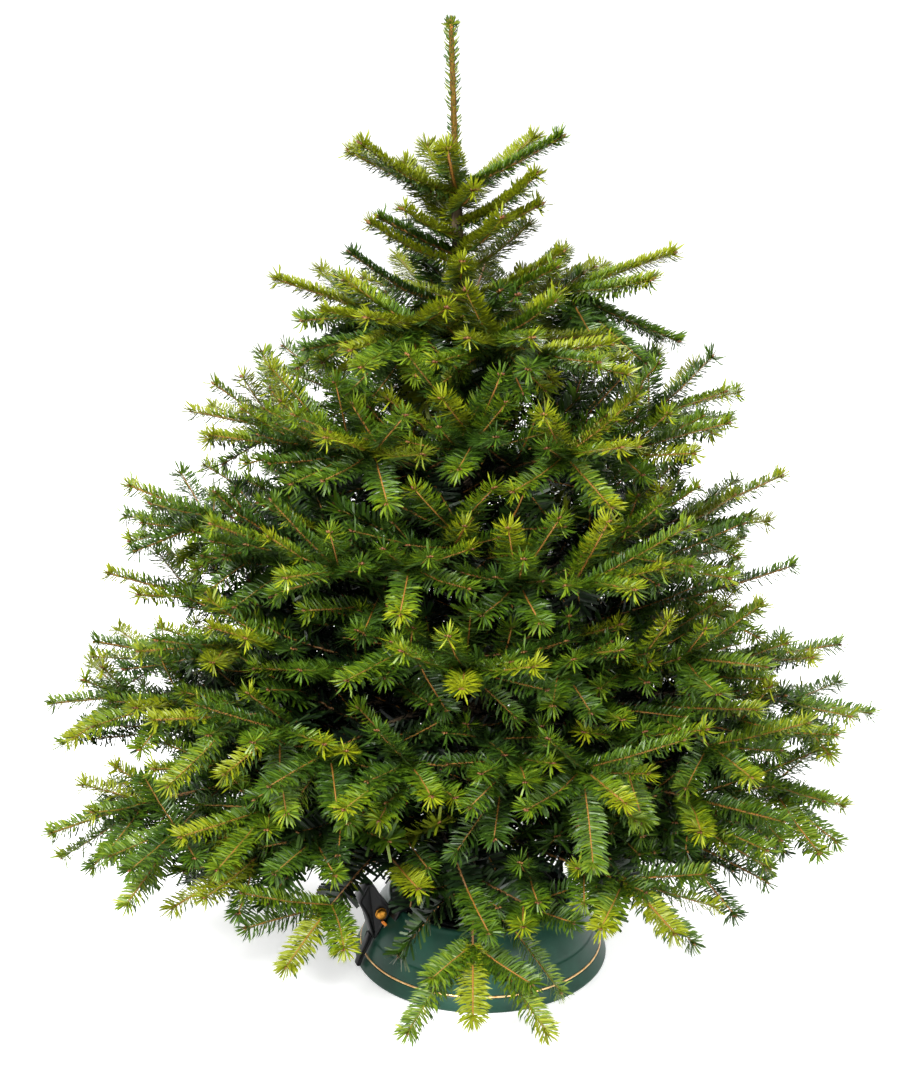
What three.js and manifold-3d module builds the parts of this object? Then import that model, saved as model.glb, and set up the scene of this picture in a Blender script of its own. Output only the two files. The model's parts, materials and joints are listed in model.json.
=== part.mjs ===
// A cut fir tree for Christmas, standing in a round plastic stand with a foot lever.
// Millimetres, +Z up. The origin is the centre of the stand's flat underside.
// Azimuths are in degrees from +X towards +Y. Every limb lies in one upright plane.
import * as THREE from "three";
import { mergeVertices } from "three/addons/utils/BufferGeometryUtils.js";
import Module from "manifold-3d";

const wasm = await Module();
wasm.setup();

// ---- driving dimensions ----
const GAP = 0.3; // clearance between neighbouring pieces
const TREE_HEIGHT = 1359; // top of the leader's needles
const TOP_LEAN = -45; // how far the top leans along X

const TRUNK_CUT = 11.6; // height of the flat saw cut, on the floor of the bowl
const TRUNK_FOOT_RADIUS = 27;
const TRUNK_NECK_RADIUS = 7; // just below the top whorl
const LEADER_RADIUS = 4;
const LEADER_TIP_RADIUS = 2.4;
const LEADER_TIP = TREE_HEIGHT - 17;
const TRUNK_SIDES = 10;

const STAGGER = 7; // neighbouring boughs leave the trunk this much above and below their whorl
const LIMB_SIDES = 6;
const LIMB_STEPS = 3;
const LIMB_ENTERS = 0.34; // how far out along its bough a mass begins
const LIMB_POCKET = 0.07; // how far the end of the limb reaches into its mass
const LIMB_TAPER = 0.9; // share of its thickness that a limb loses along its bough

const MASS_SIDES = 8;
const MASS_STEPS = 9;
const MASS_ROOT = 0.6; // where needles start at the trunk: this share of its radius out
const MASS_CLEARANCE = 1.5; // from the halfway plane between two masses
const MASS_WIDEST = 100; // degrees that one mass may take up where it has no near neighbour
const PLAN_SHARE = 0.97; // what a bough's arch leaves of its length, seen from above
const FAN_SKEW = 0.85; // under 1 the fan is widest nearer the trunk
const FAN_FULLNESS = 0.45; // nearer 0 the fan has blunter ends
const SIDE_LOBES = { height: 0.13, rate: 17 }; // where the side shoots end
const FINE_LOBES = { height: 0.06, rate: 31 };
const LUMPS = { height: 0.12, rate: 13 }; // unevenness above and below
const SIDE_SAG = 0.0007; // how the edges of a mass hang, per millimetre squared

const TUFT_FOOT = 45; // the leader's needles start this far above the top whorl

// One whorl of boughs. base is the height where they leave the trunk, arch is how much steeper
// than their chord they leave it, halfWidth and halfDepth are the mass's largest, and limb is
// the radius of the bare limb at the trunk, or 0 where the needles start at the trunk.
// A bough is [name, azimuth, reach from the trunk's axis, height of its tip].
const WHORLS = [
  {
    name: "top", base: 1125, arch: -3, halfWidth: 24, halfDepth: 18, limb: 0,
    boughs: [
      ["right", 4, 156, 1214], ["right_back", 50, 187, 1203], ["back", 116, 112, 1200],
      ["left", 178, 160, 1197], ["front", 262, 104, 1214],
    ],
  },
  {
    name: "neck", base: 1050, arch: 0, halfWidth: 46, halfDepth: 26, limb: 0,
    boughs: [["right", 352, 128, 1130], ["left", 184, 124, 1112]],
  },
  {
    name: "upper", base: 930, arch: 4, halfWidth: 96, halfDepth: 46, limb: 0,
    boughs: [
      ["right", 8, 312, 1052], ["right_back", 54, 276, 1032], ["back", 112, 262, 1020],
      ["left", 172, 275, 1017], ["left_front", 236, 232, 1000], ["front", 290, 268, 984],
    ],
  },
  {
    name: "high", base: 722, arch: 6, halfWidth: 165, halfDepth: 62, limb: 0,
    boughs: [
      ["right", 6, 402, 856], ["back", 86, 378, 846], ["left", 170, 412, 820],
      ["left_front", 241, 376, 880], ["right_front", 302, 372, 862],
    ],
  },
  {
    name: "middle", base: 580, arch: 7, halfWidth: 165, halfDepth: 50, limb: 0,
    boughs: [
      ["right", 10, 460, 652], ["right_back", 62, 462, 668], ["left_back", 122, 476, 680],
      ["left", 174, 514, 668], ["left_front", 238, 446, 712], ["right_front", 298, 438, 700],
    ],
  },
  {
    name: "inner", base: 480, arch: 6, halfWidth: 120, halfDepth: 38, limb: 0,
    boughs: [
      ["front", 268, 456, 596], ["right_front", 330, 462, 540], ["right", 32, 492, 556],
      ["back", 92, 492, 552], ["left_back", 150, 520, 560], ["left_front", 206, 508, 560],
    ],
  },
  {
    name: "low", base: 400, arch: 8, halfWidth: 190, halfDepth: 46, limb: 0,
    boughs: [
      ["right", 354, 585, 404], ["right_back", 58, 548, 420], ["left_back", 120, 566, 420],
      ["left", 180, 628, 396], ["left_front", 236, 480, 440], ["right_front", 294, 468, 430],
    ],
  },
  {
    name: "bottom", base: 285, arch: 16, halfWidth: 170, halfDepth: 46, limb: 7.4,
    boughs: [
      ["right", 350, 550, 272], ["right_back", 48, 520, 262], ["left_back", 128, 545, 262],
      ["left", 198, 632, 278], ["left_front", 236, 462, 168], ["front", 269, 446, 126],
      ["right_front", 304, 470, 222],
    ],
  },
];

const STAND_RADIUS = 190;
const STAND_HEIGHT = 101;
const RIM_RADIUS = 140;
const RIM_INNER_RADIUS = 129;
const SHELL_WALL = 5;
const SHELL_FLOOR = 6;
const SHELL_CAVITY_RADIUS = 177; // inside the shell at its floor
const FLANK_FOOT = 5; // height where the lower flank starts
const STRIPE_HEIGHT = 20.6; // lower edge of the stripe's groove
const STRIPE_WIDTH = 3.6;
const STRIPE_DEPTH = 1.8;
const STRIPE_PROUD = 0.2;
const CREASE_HEIGHT = 46;
const CREASE_RADIUS = 169;
const STAND_SIDES = 28;

const BOWL_RADIUS = 111.6;
const BOWL_HEIGHT = 94;
const BOWL_WALL = 4;
const BOWL_FLOOR = 5;
const CLAW_COUNT = 4;
const CLAW_WIDTH = 13;
const CLAW_RING_FOOT = 78;
const CLAW_RING_HEIGHT = 12;
const CLAW_RING_WIDTH = 9;

const LEVER_AZIMUTH = 200;
const LEVER_BAR_WIDTH = 12;
const PEDAL_WIDTH = 26;
const SADDLE_AZIMUTH = 207;
const SADDLE_WIDTH = 34;
const KNOB_RADIUS = 8.5;
const KNOB_LENGTH = 7;
const KNOB_SIDES = 16;
const KNOB_PLACE = { out: 161.5, height: 94 };
const LATCH_PLACE = { out: 157.5, height: 78.5 };
const LATCH_SIZE = { along: 10, across: 4, deep: 5 };
const LATCH_TILT = -49; // degrees, along the pedal's outer edge

const bark = new THREE.MeshStandardMaterial({ color: 0x6b5138, roughness: 0.9, metalness: 0 });
const needles = new THREE.MeshStandardMaterial({ color: 0x35562a, roughness: 0.6, metalness: 0 });
const green = new THREE.MeshStandardMaterial({ color: 0x2b4f49, roughness: 0.35, metalness: 0 });
const gold = new THREE.MeshStandardMaterial({ color: 0xd9bd8a, roughness: 0.4, metalness: 0.3 });
const black = new THREE.MeshStandardMaterial({ color: 0x111213, roughness: 0.5, metalness: 0 });
const brass = new THREE.MeshStandardMaterial({ color: 0xb8862b, roughness: 0.4, metalness: 0.7 });
const orange = new THREE.MeshStandardMaterial({ color: 0xe08a1e, roughness: 0.5, metalness: 0 });

const tree = new THREE.Group();

// ---- solids: geometry to a closed body, and back ----
function toSolid(geometry) {
  const bare = geometry.clone();
  bare.deleteAttribute("normal");
  bare.deleteAttribute("uv");
  const merged = mergeVertices(bare.index ? bare.toNonIndexed() : bare, 1e-4);
  const index = merged.index.array;
  const kept = [];
  for (let i = 0; i < index.length; i += 3) {
    const [a, b, c] = [index[i], index[i + 1], index[i + 2]];
    if (a !== b && b !== c && c !== a) {
      kept.push(a, b, c);
    }
  }
  const vertProperties = new Float32Array(merged.attributes.position.array);
  return new wasm.Manifold(new wasm.Mesh({
    numProp: 3, vertProperties, triVerts: new Uint32Array(kept),
  }));
}

function toGeometry(solid) {
  const mesh = solid.getMesh();
  const geometry = new THREE.BufferGeometry();
  geometry.setAttribute("position", new THREE.BufferAttribute(mesh.vertProperties, 3));
  geometry.setIndex(new THREE.BufferAttribute(mesh.triVerts, 1));
  geometry.computeVertexNormals();
  return geometry;
}

function addPiece(name, geometry, material) {
  const piece = new THREE.Mesh(toGeometry(toSolid(geometry)), material);
  piece.name = name;
  tree.add(piece);
}

// A body of revolution about Z from a profile of [radius, height], listed anticlockwise.
function lathe(profile, sides) {
  const points = profile.map(([radius, height]) => new THREE.Vector2(radius, height));
  return new THREE.LatheGeometry(points, sides).rotateX(Math.PI / 2);
}

// A side outline of [distance from the axis, height], made width thick across its plane.
function plate(outline, width) {
  const shape = new THREE.Shape(outline.map(([x, y]) => new THREE.Vector2(x, y)));
  const geometry = new THREE.ExtrudeGeometry(shape, { depth: width, bevelEnabled: false });
  return geometry.rotateX(Math.PI / 2).translate(0, width / 2, 0);
}

function turned(geometry, azimuth) {
  return geometry.rotateZ(THREE.MathUtils.degToRad(azimuth));
}

// ---- trunk ----
function axisX(height) {
  return (TOP_LEAN * height) / TREE_HEIGHT;
}

function trunkRadius(height) {
  const neck = WHORLS[0].base;
  if (height <= neck) {
    return THREE.MathUtils.mapLinear(height, 0, neck, TRUNK_FOOT_RADIUS, TRUNK_NECK_RADIUS);
  }
  return THREE.MathUtils.mapLinear(height, neck, LEADER_TIP, LEADER_RADIUS, LEADER_TIP_RADIUS);
}

// The trunk, grown outward by margin so that it can also cut its own clearance.
function trunkGeometry(margin) {
  const knots = WHORLS.map((whorl) => whorl.base).reverse();
  const steps = [TRUNK_CUT, ...knots, WHORLS[0].base + 1, LEADER_TIP];
  const side = steps.map((height) => [trunkRadius(height) + margin, height]);
  side[side.length - 1][1] += margin;
  side[0][1] -= margin;
  const profile = [[0, TRUNK_CUT - margin], ...side, [0, LEADER_TIP + margin]];
  const geometry = lathe(profile, TRUNK_SIDES);
  const position = geometry.attributes.position;
  for (let i = 0; i < position.count; i += 1) {
    position.setX(i, position.getX(i) + axisX(position.getZ(i)));
  }
  return geometry;
}

// ---- boughs ----
function boughCurve(whorl, base, azimuth, reach, tip) {
  const angle = THREE.MathUtils.degToRad(azimuth);
  const out = new THREE.Vector3(Math.cos(angle), Math.sin(angle), 0);
  const start = new THREE.Vector3(axisX(base), 0, base);
  const end = start.clone().addScaledVector(out, reach).setZ(tip);
  const chord = Math.atan2(tip - base, reach);
  const arch = THREE.MathUtils.degToRad(whorl.arch);
  const pull = start.distanceTo(end) / 3;
  const heading = (slope) => out.clone().multiplyScalar(Math.cos(slope)).setZ(Math.sin(slope));
  return new THREE.CubicBezierCurve3(
    start,
    start.clone().addScaledVector(heading(chord + arch), pull),
    end.clone().addScaledVector(heading(chord - arch), -pull),
    end,
  );
}

// Bends a geometry along a bough: x is sideways, y is the share of the bough's length, z is up.
function bend(geometry, curve, azimuth) {
  const angle = THREE.MathUtils.degToRad(azimuth);
  const side = new THREE.Vector3(Math.sin(angle), -Math.cos(angle), 0);
  const position = geometry.attributes.position;
  const vertex = new THREE.Vector3();
  for (let i = 0; i < position.count; i += 1) {
    vertex.fromBufferAttribute(position, i);
    const share = THREE.MathUtils.clamp(vertex.y, 0, 1);
    const up = side.clone().cross(curve.getTangent(share));
    const place = curve.getPoint(share);
    place.addScaledVector(side, vertex.x).addScaledVector(up, vertex.z);
    position.setXYZ(i, place.x, place.y, place.z);
  }
  return geometry;
}

function limbGeometry(curve, azimuth, radius, margin) {
  const end = LIMB_ENTERS + LIMB_POCKET;
  const profile = [new THREE.Vector2(0, 0)];
  for (let i = 0; i <= LIMB_STEPS; i += 1) {
    const share = (end * i) / LIMB_STEPS;
    const along = i === LIMB_STEPS ? share + margin / curve.getLength() : share;
    profile.push(new THREE.Vector2(radius * (1 - LIMB_TAPER * share) + margin, along));
  }
  profile.push(new THREE.Vector2(0, profile[profile.length - 1].y));
  return bend(new THREE.LatheGeometry(profile, LIMB_SIDES), curve, azimuth);
}

// The widest that a mass may be at a distance from the trunk, halfway to its neighbour.
function roomBeside(whorl, azimuth, sign, distance) {
  let nearest = MASS_WIDEST;
  for (const [, other] of whorl.boughs) {
    const turn = THREE.MathUtils.euclideanModulo(sign * (azimuth - other), 360);
    if (turn > 0) {
      nearest = Math.min(nearest, turn);
    }
  }
  const halfway = distance * Math.tan(THREE.MathUtils.degToRad(nearest / 2));
  return Math.max(1, halfway - MASS_CLEARANCE);
}

// A mass of needles: a flattened fan, narrow at the trunk and pointed at its tip, with an
// uneven outline where its side shoots end.
function massGeometry(whorl, curve, azimuth, reach, from) {
  const geometry = new THREE.SphereGeometry(1, MASS_SIDES, MASS_STEPS);
  const position = geometry.attributes.position;
  for (let i = 0; i < position.count; i += 1) {
    const [x, y, z] = [position.getX(i), position.getY(i), position.getZ(i)];
    const share = (1 + y) / 2;
    const ring = Math.hypot(x, z);
    const angle = Math.atan2(z, x);
    const spread = Math.sqrt(ring) * Math.sin(Math.PI * share ** FAN_SKEW) ** FAN_FULLNESS;
    const lobes = 1 + SIDE_LOBES.height * Math.sin(SIDE_LOBES.rate * share + azimuth)
      + FINE_LOBES.height * Math.sin(FINE_LOBES.rate * share);
    const lumps = 1 + LUMPS.height * Math.sin(LUMPS.rate * share + 2 * azimuth + 2 * angle);
    const along = from + (1 - from) * share;
    const upward = Math.sin(angle) * whorl.halfDepth * spread * lumps;
    const slope = curve.getTangent(along);
    const distance = PLAN_SHARE * along * reach - Math.max(0, upward) * slope.z;
    const wanted = Math.abs(Math.cos(angle)) * whorl.halfWidth * spread * lobes;
    const width = Math.min(wanted, roomBeside(whorl, azimuth, Math.sign(x), distance));
    const across = Math.sign(x) * width;
    position.setXYZ(i, across, along, upward - SIDE_SAG * across * across);
  }
  return bend(geometry, curve, azimuth);
}

function addBoughs(whorl) {
  const sleeve = toSolid(trunkGeometry(GAP));
  whorl.boughs.forEach(([side, azimuth, reach, tip], i) => {
    const name = `${whorl.name}_${side}`;
    const base = whorl.base + STAGGER * (i % 2 === 0 ? 1 : -1);
    const curve = boughCurve(whorl, base, azimuth, reach, tip);
    if (whorl.limb > 0) {
      const limb = toSolid(limbGeometry(curve, azimuth, whorl.limb, 0));
      addPiece(`bough_${name}`, toGeometry(limb.subtract(sleeve)), bark);
      const pocket = toSolid(limbGeometry(curve, azimuth, whorl.limb, GAP));
      const mass = toSolid(massGeometry(whorl, curve, azimuth, reach, LIMB_ENTERS));
      addPiece(`needles_${name}`, toGeometry(mass.subtract(pocket)), needles);
    } else {
      const from = (MASS_ROOT * trunkRadius(whorl.base)) / reach;
      const mass = toSolid(massGeometry(whorl, curve, azimuth, reach, from));
      addPiece(`needles_${name}`, toGeometry(mass.subtract(sleeve)), needles);
    }
  });
}

// The needles round the leader, from above the top whorl to the top of the tree.
function addLeader() {
  const foot = WHORLS[0].base + TUFT_FOOT;
  const profile = [
    [0, foot], [9, foot + 2], [15, foot + 30], [14, foot + 110],
    [13, LEADER_TIP - 20], [17, LEADER_TIP - 4], [13, TREE_HEIGHT - 4], [0, TREE_HEIGHT],
  ];
  const geometry = lathe(profile, MASS_SIDES);
  const position = geometry.attributes.position;
  for (let i = 0; i < position.count; i += 1) {
    position.setX(i, position.getX(i) + axisX(position.getZ(i)));
  }
  const tuft = toSolid(geometry).subtract(toSolid(trunkGeometry(GAP)));
  addPiece("needles_leader", toGeometry(tuft), needles);
}

// ---- stand ----
// The outside of the shell's straight lower flank.
function flankRadius(height) {
  const crease = CREASE_RADIUS + 1.5;
  return THREE.MathUtils.mapLinear(height, FLANK_FOOT, CREASE_HEIGHT, STAND_RADIUS, crease);
}

function addShell() {
  const low = STRIPE_HEIGHT;
  const high = STRIPE_HEIGHT + STRIPE_WIDTH;
  const profile = [
    [0, 0], [STAND_RADIUS - 1, 0], [STAND_RADIUS, FLANK_FOOT],
    [flankRadius(low), low], [flankRadius(low) - STRIPE_DEPTH, low],
    [flankRadius(high) - STRIPE_DEPTH, high], [flankRadius(high), high],
    [CREASE_RADIUS + 1.5, CREASE_HEIGHT], [CREASE_RADIUS, CREASE_HEIGHT + 1.5],
    [RIM_RADIUS + 1, STAND_HEIGHT - 7], [RIM_RADIUS - 2, STAND_HEIGHT - 2],
    [RIM_RADIUS - 6, STAND_HEIGHT], [RIM_INNER_RADIUS + 2, STAND_HEIGHT - 1],
    [RIM_INNER_RADIUS, STAND_HEIGHT - 5], [RIM_INNER_RADIUS + 3, STAND_HEIGHT - 15],
    [CREASE_RADIUS - SHELL_WALL, CREASE_HEIGHT], [SHELL_CAVITY_RADIUS, SHELL_FLOOR],
    [0, SHELL_FLOOR],
  ];
  addPiece("stand_shell", lathe(profile, STAND_SIDES), green);
}

function addStripe() {
  const low = STRIPE_HEIGHT + GAP;
  const high = STRIPE_HEIGHT + STRIPE_WIDTH - GAP;
  const bed = STRIPE_DEPTH - 2 * GAP; // clear of the bottom of the groove
  const profile = [
    [flankRadius(low) - bed, low], [flankRadius(low) + STRIPE_PROUD, low],
    [flankRadius(high) + STRIPE_PROUD, high], [flankRadius(high) - bed, high],
    [flankRadius(low) - bed, low],
  ];
  addPiece("stand_stripe", lathe(profile, STAND_SIDES), gold);
}

function addBowl() {
  const floor = SHELL_FLOOR + GAP;
  const inner = BOWL_RADIUS - BOWL_WALL;
  const profile = [
    [0, floor], [BOWL_RADIUS, floor], [BOWL_RADIUS, BOWL_HEIGHT], [inner, BOWL_HEIGHT],
    [inner, floor + BOWL_FLOOR], [0, floor + BOWL_FLOOR],
  ];
  addPiece("stand_bowl", lathe(profile, STAND_SIDES), black);
}

function addCollar() {
  const inner = BOWL_RADIUS + GAP;
  const outer = RIM_INNER_RADIUS - GAP;
  const top = STAND_HEIGHT - 2.5;
  const foot = STAND_HEIGHT - 14;
  const profile = [
    [inner, foot], [outer, foot], [outer, top - 3.5], [outer - 4, top],
    [inner + 4, top], [inner, top - 3.5], [inner, foot],
  ];
  addPiece("stand_collar", lathe(profile, STAND_SIDES), black);
}

// A ring inside the mouth of the bowl, with arms that grip the trunk.
function addClaws() {
  const outer = BOWL_RADIUS - BOWL_WALL - GAP;
  const inner = outer - CLAW_RING_WIDTH;
  const foot = CLAW_RING_FOOT;
  const top = foot + CLAW_RING_HEIGHT;
  const ring = [[inner, foot], [outer, foot], [outer, top], [inner, top], [inner, foot]];
  let claws = toSolid(lathe(ring, STAND_SIDES));
  const outline = [
    [inner + 4, foot + 2], [inner + 4, top - 2], [72, 103], [36, 103], [15, 96], [15, 80],
    [36, 86], [68, 90], [inner - 6, foot + 2],
  ];
  for (let i = 0; i < CLAW_COUNT; i += 1) {
    const azimuth = (360 / CLAW_COUNT) * (i + 0.5);
    claws = claws.add(toSolid(turned(plate(outline, CLAW_WIDTH), azimuth)));
  }
  claws = claws.subtract(toSolid(trunkGeometry(GAP)));
  addPiece("stand_claws", toGeometry(claws), black);
}

// The foot lever: a deep pedal that fans outward above its pivot, a bar from it down the
// outside of the shell, and a saddle that carries the pivot over the rim.
function addLever() {
  const pedal = [
    [172, 51], [176, 64], [183, 92], [189, 105], [197, 117], [180, 146], [169, 141], [158, 118],
    [145.5, 101], [145, 95], [153, 81], [165, 61],
  ];
  const bar = [
    [171, 51], [174.5, 45], [185.5, 25], [192.5, 8], [199, 10], [192.5, 28], [183, 47], [176, 62],
  ];
  const saddle = [
    [113, 101.6], [139, 101.6], [143.8, 96.5], [147.8, 88.5], [151.5, 89.5], [147.5, 98],
    [143, 110], [118, 110], [113, 106],
  ];
  const lever = toSolid(turned(plate(pedal, PEDAL_WIDTH), LEVER_AZIMUTH))
    .add(toSolid(turned(plate(bar, LEVER_BAR_WIDTH), LEVER_AZIMUTH)))
    .add(toSolid(turned(plate(saddle, SADDLE_WIDTH), SADDLE_AZIMUTH)));
  addPiece("stand_lever", toGeometry(lever), black);
}

// The knob is the end of the pedal's pivot, and the latch hangs below it on the same face.
function addKnobAndLatch() {
  const face = PEDAL_WIDTH / 2 + GAP;
  const crown = KNOB_RADIUS * 0.85;
  const knob = new THREE.CylinderGeometry(crown, KNOB_RADIUS, KNOB_LENGTH, KNOB_SIDES);
  knob.translate(KNOB_PLACE.out, face + KNOB_LENGTH / 2, KNOB_PLACE.height);
  addPiece("lever_knob", turned(knob, LEVER_AZIMUTH), brass);
  const { along, across, deep } = LATCH_SIZE;
  const latch = new THREE.BoxGeometry(along, across, deep);
  latch.rotateY(THREE.MathUtils.degToRad(LATCH_TILT));
  latch.translate(LATCH_PLACE.out, face + across / 2, LATCH_PLACE.height);
  addPiece("lever_latch", turned(latch, LEVER_AZIMUTH), orange);
}

addPiece("trunk", trunkGeometry(0), bark);
addLeader();
WHORLS.forEach(addBoughs);
addShell();
addStripe();
addBowl();
addCollar();
addClaws();
addLever();
addKnobAndLatch();

export default tree;
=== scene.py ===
"""A cut fir, grown needle by needle along its CAD boughs, in a round plastic stand.

Metres, +Z up, the stand's underside at z = 0. The boughs follow the middle of the CAD masses,
and everything smaller than a bough is grown by a seeded branching rule.
"""
import json
import math

import bmesh
import bpy
import numpy as np
from mathutils import Matrix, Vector
from numpy.linalg import norm

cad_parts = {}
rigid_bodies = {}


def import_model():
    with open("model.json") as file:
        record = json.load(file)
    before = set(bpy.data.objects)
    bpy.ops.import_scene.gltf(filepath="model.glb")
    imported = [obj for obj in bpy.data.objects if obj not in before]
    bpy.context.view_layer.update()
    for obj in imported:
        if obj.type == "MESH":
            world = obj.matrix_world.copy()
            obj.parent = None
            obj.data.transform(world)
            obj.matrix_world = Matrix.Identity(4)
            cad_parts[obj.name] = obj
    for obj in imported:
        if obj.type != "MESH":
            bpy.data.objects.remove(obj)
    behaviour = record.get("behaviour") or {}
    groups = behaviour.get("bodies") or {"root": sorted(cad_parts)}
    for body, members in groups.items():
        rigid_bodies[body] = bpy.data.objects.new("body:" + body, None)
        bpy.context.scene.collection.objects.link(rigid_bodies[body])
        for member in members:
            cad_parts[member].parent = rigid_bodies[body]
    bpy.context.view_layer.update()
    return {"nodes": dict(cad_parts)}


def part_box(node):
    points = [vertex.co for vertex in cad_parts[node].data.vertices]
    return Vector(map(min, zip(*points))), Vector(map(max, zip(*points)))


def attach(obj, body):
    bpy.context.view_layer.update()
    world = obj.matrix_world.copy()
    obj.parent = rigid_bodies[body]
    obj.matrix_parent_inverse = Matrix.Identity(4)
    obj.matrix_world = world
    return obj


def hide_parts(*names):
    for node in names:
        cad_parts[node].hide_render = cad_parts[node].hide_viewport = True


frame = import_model()

SEED = 20
UP = np.array([0.0, 0.0, 1.0])

# ---- growth ----
YEAR = 0.115  # length of one year's growth on a main bough
STEPS = 4  # pieces along one year's growth
SIDE_ANGLE = 52  # degrees between an axis and its side axes
SIDE_SHARE = 0.88  # a side axis's yearly growth as a share of its parent's
PAIR_KEPT = 0.9  # share of the side axes that live, where they have over a year to grow
SHORT_SHOOT = (0.050, 0.095)  # how long the short shoots along an axis are
ROOM = 0.025  # a side axis only starts where no other shoot is nearer than this
GAPS = [
    # share of the crown's reach, and how far from every shoot a spot there counts as open
    (0.93, 0.064), (0.81, 0.055), (0.68, 0.047), (0.56, 0.044), (0.44, 0.043), (0.33, 0.043),
    (0.22, 0.042), (0.12, 0.041),
]
GAP_RING = ([0.2, 0.4, 1.0], [0.5, 0.6, 0.25])  # the crown's rough reach at three heights
WHORL_BLEND = ([0.3, 0.6, 1.0], [0.24, 0.18, 0.09])  # how far up and down a whorl fills, by height
MOST_SHOOTS = 12000  # that there is room for
CLEAR = [
    # start, direction and half width of the spaces over the lever and over the stand's mouth
    (np.array([-0.165, -0.07, 0.115]), np.array([0.054, -0.884, 0.464]), 0.047),
    (np.array([-0.085, -0.10, 0.095]), np.array([0.015, -0.884, 0.464]), 0.030),
]
CLEAR_LENGTH = 0.45  # of both
WHORLS = {
    # name: a year's growth, lift of the side axes, how much older ones hang, thickness
    "top": (0.40, 0.10, 0.0, 2.2),
    "neck": (0.40, 0.10, 0.0, 1.8),
    "upper": (0.13, 0.22, 0.0, 1.3),
    "high": (0.12, 0.26, 0.01, 1.2),
    "middle": (YEAR, 0.26, 0.02, 1.2),
    "inner": (YEAR, 0.22, 0.02, 1.2),
    "low": (YEAR, 0.16, 0.02, 1.2),
    "bottom": (YEAR, 0.06, 0.025, 1.2),
}
INTERNODE_YEAR = 0.14  # one year's growth on the boughs between the whorls
INTERNODES = [
    # height of the foot and of the tip above it, reach, directions in degrees
    (0.60, 0.14, 0.49, (0, 50, 130, 185, 218)),
    (0.50, 0.10, 0.52, (0, 60, 120, 181, 300)),
    (0.425, 0.06, 0.58, (2, 28, 90, 150, 183, 212, 328)),
    (0.335, 0.0, 0.62, (8, 28, 88, 150, 173, 216, 328)),
    (0.31, -0.10, 0.58, (0, 24, 85, 150, 176, 211, 332)),
    (0.26, -0.13, 0.46, (50, 75, 100, 125)),
    (0.25, -0.08, 0.50, (38, 62, 88, 113, 140)),
    (1.09, 0.07, 0.15, (130, 335)),
    (1.13, 0.07, 0.15, (207,)),
]
NECK_HEIGHTS = np.arange(0.925, 1.115, 0.0125)  # where the small boughs of the neck start
GOLDEN_ANGLE = 137.5  # degrees from each of them to the next
HANGING = [
    # ends of the shoots that hang in front of the stand
    (-0.100, -0.42, 0.115),
    (0.078, -0.42, 0.115),
    (0.10, -0.33, 0.12),
    (-0.115, -0.25, 0.13),
]
HANGING_RADII = (0.0021, 0.0013)
GAP_HEIGHTS = np.arange(0.16, 1.0, 0.026)  # where open spots are looked for
GAP_STEP = 0.055  # between the spots that are tried round the crown
FILL_LIFT = 0.12  # how much the axes that grow into gaps turn upward
WOOD_REACH = 0.25  # they start from older wood no further off than this, or else on the trunk
SHADE_REACH = 0.24  # shoots within this distance shade each other

# ---- bark ----
TRUNK_SIDES = 30
TRUNK_RINGS = 220
LIMB_SIDES = 8
LIMB_RINGS = 22
LIMB_YOUNG = 2  # years at the end of a bough that are still twigs

# ---- needles ----
NEEDLE_LENGTH = 0.027
NEEDLE_WIDTH = 0.0027
NEEDLES_PER_METRE = [1800, 1450, 1000, 650, 350, 200]  # by the age of the wood
ROSETTE = 26  # needles round the buds at the end of a shoot
DOUBLE_ROSETTES = 1.1  # shoots above this height have twice as many
NEEDLE_BEND = 0.7  # where a needle is widest, and turns towards the end of its shoot
NEEDLE_SPREAD = 6  # degrees by which one needle's angles differ from its neighbour's
TURN_STEP = 137.508  # degrees round the shoot from one needle to the next
LEADER_NEEDLE = 0.62  # length of the leader's needles as a share of the others'
LEADER_DENSITY = 0.95
LEADER_SPREAD = 50  # degrees between the leader and its needles
DEEP_SHADE = 0.45  # shoots shadier than this have fewer, larger needles of one face
SHADE_DENSITY = ([0, 0.25, 0.45, 0.6, 1], [1.25, 1.00, 0.68, 0.36, 0.24])
SKIRT_DENSITY = ([0.15, 0.3], [0.65, 0.28])  # the least density, by height
SHADE_WIDTH = 2.6
SHADE_LENGTH = 1.25
SHADE_ROSETTE = 12
# Painted light and shade: the tone a shoot's needles get, by its shade, from light greens in the
# open to near-black deep inside.
SHADE_TONES = ([0, 0.12, 0.30, 0.55, 1], [1.7, 2.5, 3.2, 4.4, 6.2])
TIP_BRIGHTER = (0.2, 2.7)  # tones by which this year's tips are lighter, from one shoot to another: partly young growth, partly painted light that shade cuts down
OLIVE_SHARE = ([0.8, 1.1], [0.05, 0.85])  # share of the shoots that are olive, by height
TOP_DENSER = ([0.9, 1.05], [1, 2.2])  # how much closer the needles stand, by height
MOST_NEEDLES = 62000  # in one joined piece, of three triangles each or fewer

# ---- twigs and buds ----
TWIG_SIDES = 3
BUD_LENGTH = 0.0070
BUD_RADIUS = 0.0021
BUD_APART = 0.0012  # from the end of the shoot to the buds beside it
BUD_SHADE = 0.65  # none are drawn on the shoots shadier than this
BUD_GROWTH = ([0.9, 1.1], [1, 1.5])  # larger towards the top of the tree
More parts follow.
